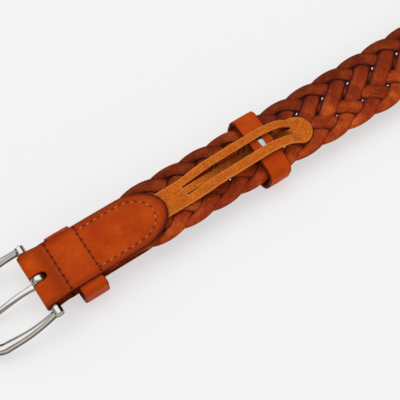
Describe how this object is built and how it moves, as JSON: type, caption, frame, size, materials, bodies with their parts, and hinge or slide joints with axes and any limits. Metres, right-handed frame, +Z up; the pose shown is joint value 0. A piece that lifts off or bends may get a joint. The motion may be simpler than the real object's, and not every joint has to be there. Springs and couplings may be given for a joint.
{
  "type": "braided leather belt",
  "caption": "Flat-braided leather belt with smooth stitched tabs, heel-bar prong buckle, fixed and sliding keepers, and a slotted strip along the back, lying face down.",
  "frame": {"origin": "on the surface the belt lies on, under the middle of its length", "axes": "+X along the belt from the buckle to the tip, +Y across it, +Z up towards the wrong side of the belt, which lies face down"},
  "size_m": [1.1213, 0.049, 0.02],
  "materials": {
    "buckle_metal": "polished nickel",
    "staple_metal": "bright nickel",
    "tab_leather": "smooth, semi-gloss, dark burnished edges",
    "strip_leather": "matte split leather",
    "braid_leather": "oiled, semi-gloss",
    "thread": "waxed thread"
  },
  "bodies": {
    "strap": {"buckle_tab": "tab_leather", "fixed_keeper": "tab_leather", "tip_face": "tab_leather", "tip_lining": "tab_leather", "slotted_strip": "strip_leather", "cross_stitch_1": "thread", "cross_stitch_2": "thread", "tab_edge_stitch": "thread", "tip_edge_stitch": "thread", "braid_strand_1": "braid_leather", "braid_strand_2": "braid_leather", "braid_strand_3": "braid_leather", "braid_strand_4": "braid_leather", "braid_strand_5": "braid_leather", "braid_strand_6": "braid_leather"},
    "buckle": {"buckle_frame": "buckle_metal", "buckle_bar": "buckle_metal"},
    "prong": {"prong": "buckle_metal"},
    "sliding_keeper": {"sliding_keeper": "tab_leather", "keeper_staple": "staple_metal"}
  },
  "joints": [
    {"name": "buckle_hinge", "type": "hinge", "parent": "strap", "child": "buckle", "pos_m": [-0.51427, 0, 0.01453], "axis": [0, 1, 0], "range_deg": [-20, 80]},
    {"name": "prong_hinge", "type": "hinge", "parent": "buckle", "child": "prong", "pos_m": [-0.51427, 0, 0.01453], "axis": [0, -1, 0], "range_deg": [0, 58]},
    {"name": "keeper_slide", "type": "slide", "parent": "strap", "child": "sliding_keeper", "axis": [1, 0, -0.0091], "range_m": [-0.028, 0.007]}
  ]
}
